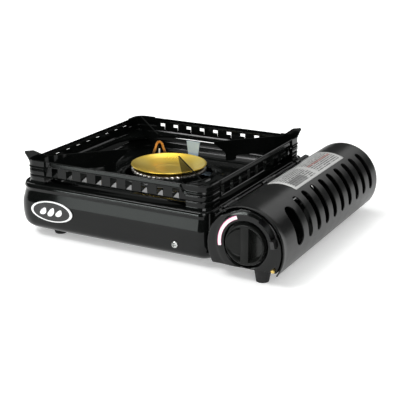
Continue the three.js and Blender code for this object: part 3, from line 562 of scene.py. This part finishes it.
def vent_tabs():
    """Lanced tabs, left standing at the foot of each vent and bent inward."""
    parts = []
    for side, (outline, degrees) in enumerate(TABS):
        lean = math.radians(degrees)
        rim = [(-outline[0][0], 0)] + list(outline) + [(-half, up) for half, up in reversed(outline[1:])]
        for middle in vent_places(side):
            points = []
            for depth in (0.1, 0.9):
                for along, up in rim:
                    inward = depth * math.cos(lean) + up * math.sin(lean)
                    z = VENT["low"] - 0.2 + up * math.cos(lean) - depth * math.sin(lean)
                    points.append(wall_point(side, middle + along, inward, z))
            count = len(rim)
            caps = [tuple(range(count - 1, -1, -1)), tuple(range(count, 2 * count))]
            ring = [(i, (i + 1) % count, count + (i + 1) % count, count + i) for i in range(count)]
            parts.append((points, caps + ring))
    obj = bevel(clean(join_parts("vent_tabs", parts)), 0.2)
    dress(obj, ENAMEL, "pan_support")


# Height and how far the corner leg's face stands off the guard, from its flared foot to its top.
LEG = [(67.2, 3.1), (68.6, 2.5), (70.2, 2), (71.8, 2.3), (75.4, 2.4), (76.6, 1.4), (77.8, 2.4), (82.4, 2.5),
       (83.8, 1.3), (85.2, 2.8), (86.6, 2.5), (88, 2), (93.6, 1.9), (94.5, 1.4)]


def corner_leg(name, corner):
    """One pressed angle plate round a corner of the guard."""
    side = {"rear_right": 0, "rear_left": 1, "front_left": 2, "front_right": 3}[corner]
    half = half_length(side)
    reach = 14 + math.pi * GUARD["radius"] / 4
    steps = 12
    rise = smooth_line(LEG, 3)
    points = []
    for i in range(2 * steps + 1):
        t = i / steps
        if t <= 1:
            wall, s = side, half - reach * (1 - t)
        else:
            wall, s = (side + 1) % 4, reach * (t - 1) - half_length((side + 1) % 4)
        points += [wall_point(wall, s, -off, z) for z, off in rise]
    obj = new_object(name, points, grid(2 * steps + 1, len(rise)))
    bevel(thicken(clean(obj, 60), 0.9), 0.2)
    dress(obj, ENAMEL, "pan_support", [f"corner_leg_{corner}"])


# ---------------------------- burner
def burner():
    top = HEAD_HIGH.z
    rim = (HEAD_HIGH.x - HEAD_LOW.x) / 2
    bowl = [(0.2, 66.4), (9, 66.4), (14, 66.6), (16, 67), (18, 67.1), (20, 66.8), (23, 66.9), (27, 67.5),
            (31, 68.5), (34, 69.4), (37, 70.4), (42, 72.5), (44.6, 73.7), (45.6, top), (rim, top - 0.3),
            (rim, top - 1.3), (45, 72.4), (43.4, 71.3), (37, 69), (33, 67.3), (24, 65.4), (0.2, 65.2)]
    obj = new_object("burner_bowl", *lathe(smooth_line(bowl, 3), segments=128))
    clean(obj, 50)
    dress(obj, BURNER_BRASS, "stove_body", ["burner_head"])
    teeth = 44
    points, per = [], 8
    profile = [(38, 68.9), (44.2, 69.2), (46.4, 68.2), (46.8, 66.6), (46.4, 65), (44.6, 64.4), (38, 64.8)]
    for radius, z in profile:
        for i in range(teeth * per):
            wave = 0.5 + 0.5 * math.cos(2 * math.pi * i / per)
            depth = 1.7 * wave if radius > 44 else 0.0
            angle = 2 * math.pi * i / (teeth * per)
            points.append(((radius - depth) * math.cos(angle), (radius - depth) * math.sin(angle), z))
    ring = new_object("serrated_ring", points, grid(len(profile), teeth * per, True, True))
    clean(ring, 50)
    dress(ring, BURNER_STEEL, "stove_body", ["flame_port_ring"])


def electrode_hoop():
    """Copper strip bent over into a narrow arch round the electrode."""
    low, high = span("electrode_hoop")
    middle = ((low.x + high.x) / 2, (low.y + high.y) / 2)
    turn = math.radians(28)
    spine = smooth_line([(-9.4, low.z), (-7.4, 72), (-5, 79), (-3.2, 84.4), (0, high.z - 1.6), (3.2, 84.4),
                         (5, 79), (7.4, 72), (9.4, low.z)], 4)
    points = []
    for k, (along, z) in enumerate(spine):
        before = spine[max(k - 1, 0)]
        after = spine[min(k + 1, len(spine) - 1)]
        run = math.hypot(after[0] - before[0], after[1] - before[1])
        normal = ((after[1] - before[1]) / run, -(after[0] - before[0]) / run)
        for across, deep in ((-0.7, 1.5), (0.7, 1.5), (0.7, -1.5), (-0.7, -1.5)):
            u, w = along + normal[0] * deep, z + normal[1] * deep
            points.append((middle[0] + u * math.cos(turn) - across * math.sin(turn),
                           middle[1] + u * math.sin(turn) + across * math.cos(turn), w))
    count = len(spine)
    faces = grid(count, 4, False, True) + [(0, 1, 2, 3), tuple(4 * (count - 1) + i for i in (3, 2, 1, 0))]
    obj = bevel(clean(new_object("spark_hoop", points, faces)), 0.25)
    dress(obj, COPPER, "stove_body", ["electrode_hoop"])


# ---------------------------- canister cover
def polar(radius, degrees):
    angle = math.radians(degrees)
    return SHELL["x"] + radius * math.cos(angle), SHELL["z"] + radius * math.sin(angle)


def slot_list():
    slots = [dict(WIDE)]
    for i in range(SLOT["count"]):
        slots.append({"y": SLOT["first"] + i * SLOT["pitch"], "half": SLOT["half"],
                      "low": SLOT["low"], "high": SLOT["high"]})
    return slots


def slot_ends(y, slots):
    """Lower and upper end of the slots at one place along the cover, in degrees, round at each slot."""
    levels = []
    for slot in slots:
        inset = math.degrees(slot["half"] / SHELL["radius"])
        levels.append((slot["y"] - slot["half"], slot["low"] + inset, slot["high"] - inset))
        levels.append((slot["y"] + slot["half"], slot["low"] + inset, slot["high"] - inset))
        off = abs(y - slot["y"])
        if off < slot["half"]:
            bulge = math.degrees(math.sqrt(slot["half"] ** 2 - off ** 2) / SHELL["radius"])
            return slot["low"] + inset - bulge, slot["high"] - inset + bulge
    if y <= levels[0][0]:
        return levels[0][1:]
    for before, after in zip(levels, levels[1:]):
        if y <= after[0]:
            t = (y - before[0]) / max(after[0] - before[0], 1e-6)
            return tuple(a + (b - a) * t for a, b in zip(before[1:], after[1:]))
    return levels[-1][1:]


def cover_columns(slots):
    """Places along the cover, each with the shell's radius there, and which of them bound a slot."""
    front, back, dome = SHELL["front"], SHELL["back"], SHELL["dome"]
    radius = SHELL["radius"]
    columns = [(front, radius), (front + 0.6, radius + 0.5), (front + 2, radius + 0.7),
               (front + 3.6, radius + 0.5), (front + 5, radius), (front + 12, radius), (front + 24, radius)]
    inside = []
    steps = 10
    for slot in slots:
        for i in range(steps + 1):
            y = slot["y"] - slot["half"] * math.cos(math.pi * i / steps)
            if i:
                inside.append(len(columns) - 1)
            columns.append((y, radius))
        columns.append((slot["y"] + slot["half"] + 3, radius))
    columns = columns[:-1]
    start = back - dome
    columns += [(start - k, radius) for k in (12, 7, 3)]
    for i in range(9):
        angle = math.radians(90 * i / 8)
        columns.append((start + dome * math.sin(angle), radius - dome + dome * math.cos(angle)))
    columns += [(back, r) for r in (30, 20, 10, 2)]
    return columns, set(inside)


def knuckle_tube(y0, y1, x, z):
    profile = [(1.6, y0), (2.7, y0), (3, y0 + 0.3), (3, y1 - 0.3), (2.7, y1), (1.6, y1), (1.6, y0)]
    return lathe(profile, x=x, z=z, segments=20, axis="y")


def box_part(x0, x1, y0, y1, z0, z1):
    points = [(x, y, z) for x in (x0, x1) for y in (y0, y1) for z in (z0, z1)]
    return points, [(0, 1, 3, 2), (4, 6, 7, 5), (0, 4, 5, 1), (2, 3, 7, 6), (0, 2, 6, 4), (1, 5, 7, 3)]


def canister_cover():
    slots = slot_list()
    columns, inside = cover_columns(slots)
    points = []
    low_rows, slot_rows, high_rows = 7, 28, 26
    for y, radius in columns:
        slot_low, slot_high = slot_ends(y, slots)
        degrees = [SHELL["low"] + (slot_low - SHELL["low"]) * i / low_rows for i in range(low_rows)]
        degrees += [slot_low + (slot_high - slot_low) * i / slot_rows for i in range(slot_rows)]
        degrees += [slot_high + (SHELL["high"] - slot_high) * i / high_rows for i in range(high_rows + 1)]
        for angle in degrees:
            x, z = polar(radius, angle)
            points.append((x, y, z))
    rows = low_rows + slot_rows + high_rows + 1

    def outside_slots(i, j):
        return not (i in inside and low_rows <= j < low_rows + slot_rows)

    obj = new_object("cover_shell", points, grid(len(columns), rows, keep=outside_slots))
    clean(obj, 60)
    outward_first(obj)
    thicken(obj, 1.2)
    bevel(obj, 0.3)
    dress(obj, COVER_PAINT, "cover", ["canister_cover"])
    rod_low, rod_high = span("hinge_rod")
    x, z = (rod_low.x + rod_high.x) / 2, (rod_low.z + rod_high.z) / 2
    parts = []
    for row in (-100, 0, 100):
        parts.append(knuckle_tube(row - 9, row + 9, x, z))
        parts.append(box_part(x + 1.2, x + 5.2, row - 9, row + 9, z + 0.6, z + 1.7))
    leaves = bevel(clean(join_parts("cover_knuckles", parts)), 0.2)
    dress(leaves, COVER_PAINT, "cover")


def outward_first(obj):
    """An open skin faces away from the bay's axis, so its sheet grows inward."""
    centre = Vector(place(SHELL["x"], 0, SHELL["z"]))
    face = obj.data.polygons[len(obj.data.polygons) // 2]
    away = face.center - centre
    away.y = 0
    if face.normal.dot(away) < 0:
        obj.data.flip_normals()


def add_grid_uv(obj, rows, columns):
    """UVs from a point's place in its grid: u over the rows, v over the columns."""
    layer = obj.data.uv_layers.new(name="UVMap")
    for loop in obj.data.loops:
        i, j = divmod(loop.vertex_index, columns)
        layer.data[loop.index].uv = (i / (rows - 1), j / (columns - 1))


def cover_label():
    low, high = span("cover_label")
    rows, columns = 40, 30
    points = []
    for i in range(rows):
        y = low.y + (high.y - low.y) * i / (rows - 1)
        for j in range(columns):
            x, z = polar(SHELL["radius"] + 0.25, 65 + 46 * j / (columns - 1))
            points.append((x, y, z))
    obj = new_object("printed_label", points, grid(rows, columns))
    add_grid_uv(obj, rows, columns)
    obj.data.shade_smooth()
    outward_first(obj)
    thicken(obj, 0.15, 1.0)
    dress(obj, LABEL, "cover", ["cover_label"])


# ---------------------------- control panel
def panel_reach(angle):
    """Distance from the knob's axis to the panel's outline in one direction."""
    dx, dz = math.cos(angle), math.sin(angle)
    limits = []
    if dx < -1e-6:
        limits.append((PANEL_LOW.x - KNOB["x"]) / dx)
    if dz < -1e-6:
        limits.append((PANEL_LOW.z - KNOB["z"]) / dz)
    if dz > 1e-6 and dx < 0:
        rise = SHOULDER["z"] - KNOB["z"] + SHOULDER["slope"] * (KNOB["x"] - PANEL_LOW.x)
        limits.append(rise / (dz - SHOULDER["slope"] * dx))
    ox, oz = KNOB["x"] - SHELL["x"], KNOB["z"] - SHELL["z"]
    along = ox * dx + oz * dz
    limits.append(-along + math.sqrt(along ** 2 - ox ** 2 - oz ** 2 + PANEL_ROUND ** 2))
    return min(limits)


def control_panel():
    """Panel pressed with a raised ring round the knob's recess, cut for the shaft and the lever."""
    recess = CUP["radius"]
    lever_low, lever_high = 30.7, 36.3
    rings = [(6.2, CUP["floor"] + 1.2), (6.4, CUP["floor"]), (12, CUP["floor"]), (19, CUP["floor"]),
             (recess - 1.2, CUP["floor"]), (recess - 0.3, CUP["floor"] - 0.3), (recess, CUP["floor"] - 1.2),
             (recess, FACE + 2), (recess, FACE + 0.4), (recess + 0.3, FACE - 0.6), (recess + 1, FACE - 1.1),
             (28, FACE - 1.3), (29.4, FACE - 1.35), (lever_low, FACE - 1.3), (32.6, FACE - 1.2),
             (34.2, FACE - 0.7), (lever_high, FACE), (37.2, FACE)]
    hem = [(1, FACE), (0.47, FACE + 0.25), (0.13, FACE + 0.9), (0, FACE + 1.8), (0, PANEL_HIGH.y)]
    slot_from, slot_to = math.radians(2.5), math.radians(61.5)
    steps_slot, steps_rest = 36, 150
    angles = [slot_from + (slot_to - slot_from) * i / steps_slot for i in range(steps_slot)]
    angles += [slot_to + (2 * math.pi - slot_to + slot_from) * i / steps_rest for i in range(steps_rest)]
    points = []
    for angle in angles:
        reach = panel_reach(angle)
        edge = max(0.35, min(1.5, reach - lever_high - 0.14))
        for k, (radius, y) in enumerate(rings):
            room = reach - edge - 0.1 - 0.02 * (len(rings) - k)
            squeezed = max(radius - room, 0.0)
            flat = blend_step(squeezed / 4) if radius > recess + 0.2 else 0.0
            points.append(panel_point(angle, min(radius, room), y + (FACE - y) * flat))
        for inset, y in hem:
            points.append(panel_point(angle, reach - inset * edge, y))
    rows = len(rings) + len(hem)
    low = [r for r, _ in rings].index(lever_low)
    high = [r for r, _ in rings].index(lever_high)

    def outside_slot(i, j):
        return not (i < steps_slot and low <= j < high)

    obj = new_object("panel_face", points, grid(len(angles), rows, True, False, outside_slot))
    clean(obj, 60)
    if max(obj.data.polygons, key=lambda f: f.area).normal.y > 0:
        obj.data.flip_normals()
    bevel(thicken(obj, 0.7), 0.15)
    dress(obj, PANEL_ENAMEL, "stove_body", ["control_panel"])


def panel_point(angle, radius, y):
    return KNOB["x"] + radius * math.cos(angle), y, KNOB["z"] + radius * math.sin(angle)


def flame_scale():
    """White arc laid on the panel's ring, beside the knob."""
    rows, columns = 48, 9
    points = []
    for i in range(rows):
        angle = math.radians(ARC["start"] + ARC["sweep"] * i / (rows - 1))
        for j in range(columns):
            t = j / (columns - 1)
            y = FACE - 1.55 + 0.35 * (2 * t - 1) ** 2
            points.append(panel_point(angle, ARC["inner"] + ARC["wide"] * t, y))
    obj = new_object("flame_arc", points, grid(rows, columns))
    add_grid_uv(obj, rows, columns)
    obj.data.shade_smooth()
    if obj.data.polygons[0].normal.y > 0:
        obj.data.flip_normals()
    thicken(obj, 0.2)
    dress(obj, FLAME, "stove_body", ["flame_scale"])


def scoop_depth(x, t, ridge=RIDGE, deepest=7.2):
    """How deep the dial is hollowed beside its grip ridge, x across it and t along the chord there."""
    reach = KNOB["radius"] - 1.5 - ridge
    out = (abs(x) - ridge) / reach
    if out <= 0:
        return 0.7 * (x / ridge) ** 2 * (1 - blend_step((abs(t) - 0.7) / 0.25))
    if out >= 1:
        return 0.0
    wall = blend_step(out * reach / 0.9)
    ends = 1 - blend_step((abs(t) - 0.72) / 0.24)
    return ends * max(deepest * wall * (1 - out) ** 0.8, 0.7 * (1 - wall))


def control_knob():
    """Drum dial whose front is hollowed on both sides of an upright grip ridge."""
    radius, front, back = KNOB["radius"], KNOB["front"], KNOB["back"]
    face = radius - 1.2
    across = [face * math.sin(math.pi * (i / 48 - 0.5)) for i in range(1, 48)]
    across += [sign * (RIDGE + k) for sign in (-1, 1) for k in (0, 0.12, 0.3, 0.5, 0.7, 0.9)]
    across = sorted(across)
    rows = 41
    points = []
    for x in across:
        chord = math.sqrt(face * face - x * x)
        for j in range(rows):
            t = math.sin(math.pi * (j / (rows - 1) - 0.5))
            points.append((KNOB["x"] + x, front + scoop_depth(x, t), KNOB["z"] + t * chord))
    faces = grid(len(across), rows)
    last = len(across) - 1
    edge = [i * rows for i in range(last + 1)] + [last * rows + j for j in range(1, rows - 1)]
    edge += [i * rows + rows - 1 for i in range(last, -1, -1)] + [j for j in range(rows - 2, 0, -1)]
    previous = edge
    for swell, y in ((0.35, front + 0.08), (0.75, front + 0.4), (1.05, front + 1), (1.2, front + 1.9),
                     (1.2, back - 0.4), (0.8, back)):
        ring = []
        for index in edge:
            x, z = points[index][0] - KNOB["x"], points[index][2] - KNOB["z"]
            scale = (face + swell) / math.hypot(x, z)
            ring.append(len(points))
            points.append((KNOB["x"] + x * scale, y, KNOB["z"] + z * scale))
        count = len(edge)
        faces += [(previous[i], previous[(i + 1) % count], ring[(i + 1) % count], ring[i])
                  for i in range(count)]
        previous = ring
    faces.append(tuple(previous))
    obj = clean(new_object("dial", points, faces), 40)
    dress(obj, KNOB_PLASTIC, "knob", ["control_knob"])


# ---------------------------- badge, screw and feet
def front_point(x, z, off):
    """A point standing off the body's pressed front, round its left corner too."""
    past = min(max(BODY_LOW.x + CORNER - x, 0), CORNER)
    sag = CORNER - math.sqrt(CORNER * CORNER - past * past)
    return x, BODY_LOW.y + wall_inset(z) + sag - off, z


def badge():
    """Oval plate: black field, white ring and a plain mark of three leaves."""
    low, high = span("front_badge")
    middle = ((low.x + high.x) / 2, (low.z + high.z) / 2)
    half = ((high.x - low.x) / 2, (high.z - low.z) / 2)
    radii = [(0.02, 1.9), (0.3, 1.9), (0.6, 1.85), (0.89, 1.8), (0.9, 2.05), (0.94, 2.2), (0.98, 2.05),
             (1.0, 1.7), (1.0, 0.8)]
    ring_row = 3                   # the white ring starts at this row of the plate
    segments = 96
    points = []
    for scale, off in radii:
        for i in range(segments):
            angle = 2 * math.pi * i / segments
            points.append(front_point(middle[0] + scale * half[0] * math.cos(angle),
                                      middle[1] + scale * half[1] * math.sin(angle), off))
    obj = new_object("badge_plate", points, grid(len(radii), segments, False, True))
    clean(obj, 40)
    dress(obj, BADGE_BLACK, "stove_body", ["front_badge"])
    obj.data.materials.append(WHITE_PRINT)
    for face in obj.data.polygons:
        row = min(face.vertices) // segments
        face.material_index = 1 if row >= ring_row else 0
    leaf_parts = []
    count = 20                     # points round a leaf
    for shift, tall in ((-11, 0.8), (0, 1.0), (11, 0.8)):
        rim = []
        for i in range(count):
            t = 2 * math.pi * i / count
            along = tall * 5.4 * math.cos(t)
            across = 3.9 * math.sin(t) * (1 - 0.35 * math.cos(t))
            rim.append((middle[0] + shift + across + 0.5 * along, middle[1] + along))
        points = [front_point(x, z, off) for off in (2.15, 1.7) for x, z in rim]
        faces = [tuple(range(count))]
        faces += [(i, (i + 1) % count, count + (i + 1) % count, count + i) for i in range(count)]
        leaf_parts.append((points, faces))
    mark = clean(join_parts("badge_mark", leaf_parts))
    dress(mark, WHITE_PRINT, "stove_body")


def front_screw():
    """Pan-head screw with a cross recess."""
    low, high = span("front_screw")
    x0, z0 = (low.x + high.x) / 2, (low.z + high.z) / 2
    radius = (high.x - low.x) / 2
    back = high.y
    segments = 48
    rings = [(0.02, 2.5), (0.12, 2.5), (0.2, 2.5), (0.3, 2.45), (0.4, 2.4), (0.5, 2.3), (0.62, 2.15),
             (0.8, 1.7), (0.93, 1.1), (1.0, 0.5), (1.0, 0)]
    points = []
    for scale, lift in rings:
        for i in range(segments):
            angle = 2 * math.pi * i / segments
            u, v = scale * radius * math.cos(angle), scale * radius * math.sin(angle)
            cross = scale < 0.55 and min(abs(u), abs(v)) < 0.14 * radius
            points.append((x0 + u, back - lift + (1.2 if cross else 0), z0 + v))
    obj = new_object("screw_head", points, grid(len(rings), segments, False, True))
    clean(obj, 40)
    dress(obj, STEEL, "stove_body", ["front_screw"])


def foot(side):
    node = f"foot_{side}"
    low, high = span(node)
    x, y = (low.x + high.x) / 2, (low.y + high.y) / 2
    radius, top = (high.x - low.x) / 2, high.z
    profile = smooth_line([(0.1, 0.6), (3.4, 0.5), (3.8, 0.02), (6, 0.02), (6.9, 0.5), (7.3, 1.6),
                           (radius - 0.35, top * 0.72), (radius, top - 0.6), (radius - 0.6, top - 0.05),
                           (0.1, top - 0.05)], 4)
    obj = new_object(f"rubber_foot_{side}", *lathe(profile, x=x, y=y, segments=48))
    clean(obj, 45)
    dress(obj, RUBBER, "stove_body", [node])


# ---------------------------- CAD parts that keep their shape
def finish_cad_parts():
    """Each CAD node takes its slot's finish and softly rounded edges."""
    slots = {part["node"]: part["material_slot"] for part in frame["record"]["subparts"]}
    for node, obj in frame["nodes"].items():
        obj.data.materials.clear()
        obj.data.materials.append(ROD_STEEL if node == "hinge_rod" else FINISHES[slots[node]])
        obj.data.shade_smooth()
        obj.data.set_sharp_from_angle(angle=math.radians(32))
        bevel(obj, 0.3, 2, 32)


# ---------------------------- camera, lights and floor
def add_camera(azimuth=28.1, elevation=18.1, distance=1.1965, aim=(64.8, -39.9, 47), lens=91.33):
    a, e = math.radians(azimuth), math.radians(elevation)
    back = Vector((math.sin(a) * math.cos(e), -math.cos(a) * math.cos(e), math.sin(e)))
    camera = bpy.data.objects.new("camera", bpy.data.cameras.new("camera"))
    camera.data.lens = lens
    camera.data.sensor_width = 36
    camera.location = Vector(place(*aim)) + back * distance
    camera.rotation_euler = back.to_track_quat("Z", "Y").to_euler()
    bpy.context.collection.objects.link(camera)
    bpy.context.scene.camera = camera


def add_area_light(name, spot, aim, size, power, colour=(1, 1, 1)):
    light = bpy.data.lights.new(name, "AREA")
    light.shape = "RECTANGLE"
    light.size, light.size_y = size
    light.energy = power
    light.color = colour
    lamp = bpy.data.objects.new(name, light)
    lamp.location = spot
    lamp.rotation_euler = (Vector(spot) - Vector(aim)).to_track_quat("Z", "Y").to_euler()
    bpy.context.collection.objects.link(lamp)


def add_world():
    """Dim room, brighter overhead."""
    world = bpy.data.worlds.new("studio")
    bpy.context.scene.world = world
    world.use_nodes = True
    tree = world.node_tree
    where = tree.nodes.new("ShaderNodeTexCoord")
    split = tree.nodes.new("ShaderNodeSeparateXYZ")
    tree.links.new(where.outputs["Generated"], split.inputs["Vector"])
    ramp = tree.nodes.new("ShaderNodeValToRGB")
    ramp.color_ramp.elements[0].position = 0.1
    ramp.color_ramp.elements[0].color = (0.03, 0.03, 0.03, 1)
    ramp.color_ramp.elements[1].position = 0.95
    ramp.color_ramp.elements[1].color = (0.8, 0.82, 0.8, 1)
    middle = ramp.color_ramp.elements.new(0.5)
    middle.color = (0.1, 0.105, 0.1, 1)
    tree.links.new(split.outputs["Z"], ramp.inputs["Fac"])
    tree.links.new(ramp.outputs["Color"], tree.nodes["Background"].inputs["Color"])
    tree.nodes["Background"].inputs["Strength"].default_value = 0.9


def add_floor(size=12.0):
    """Pale studio sweep that glows enough to stay white, more so away from the stove: painted light, dimmer
    near the stove as a painted shade round it.
    """
    material = surface("studio_floor", (0.86, 0.86, 0.86), (0.88, 0.88, 0.88), 0.85, bump=0.0)
    shader = material.node_tree.nodes["Principled BSDF"]
    shader.inputs["Emission Color"].default_value = (1, 1, 1, 1)
    tree = material.node_tree
    where = tree.nodes.new("ShaderNodeTexCoord")
    away = tree.nodes.new("ShaderNodeVectorMath")
    away.operation = "LENGTH"
    tree.links.new(where.outputs["Object"], away.inputs[0])
    # Painted light: the floor's emission is weakest near the stove and rises to its far value, a painted
    # shade round the stove.
    shaded_near_glow, far_glow, near, far = 0.36, 0.74, 0.4, 1.8
    slope = (far_glow - shaded_near_glow) / (far - near)
    climb = math_node(tree, "MAXIMUM", math_node(tree, "SUBTRACT", away.outputs["Value"], near), 0)
    painted_glow = math_node(tree, "MULTIPLY_ADD", math_node(tree, "MINIMUM", climb, far - near), slope, shaded_near_glow)
    tree.links.new(painted_glow, shader.inputs["Emission Strength"])
    mesh = bpy.data.meshes.new("floor")
    s = size / 2
    mesh.from_pydata([(-s, -s, 0), (s, -s, 0), (s, s, 0), (-s, s, 0)], [], [(0, 1, 2, 3)])
    floor = bpy.data.objects.new("floor", mesh)
    bpy.context.collection.objects.link(floor)
    mesh.materials.append(material)


# Name, place and aim in metres, size, watts and colour of each light.
COOL = (0.93, 1.0, 0.97)
LIGHTS = [
    ("overhead", (-0.25, 0.3, 1.4), (0, 0, 0.05), (1.2, 0.7), 6.5),
    ("front_strip", (-0.88, -1.75, 0.38), (0, 0, 0.08), (0.62, 0.14), 4.6, COOL),
    ("front_card", (-0.9, -1.8, 0.17), (0, 0, 0.08), (0.6, 0.2), 1.5, COOL),
    ("high_card", (-0.5, -0.95, 1.22), (0, 0, 0.08), (0.9, 0.3), 13),
    ("rear_card", (0.35, 1.5, 0.95), (0.1, 0, 0.05), (1.0, 0.5), 2.4),
    ("left_strip", (-1.5, 0.3, 0.9), (0, 0, 0.05), (0.3, 1.1), 3.8),
    ("front_fill", (1.15, -1.5, 0.95), (0, 0, 0.05), (0.9, 0.9), 16),
]

add_camera()
add_world()
add_floor()
for light in LIGHTS:
    add_area_light(*light)
bpy.context.scene.view_settings.view_transform = "Standard"

finish_cad_parts()
lower_body()
top_plate()
wind_guard()
vent_tabs()
for corner in ("rear_right", "rear_left", "front_left", "front_right"):
    corner_leg(f"guard_leg_{corner}", corner)
    foot(corner)
burner()
electrode_hoop()
canister_cover()
cover_label()
control_panel()
flame_scale()
control_knob()
badge()
front_screw()
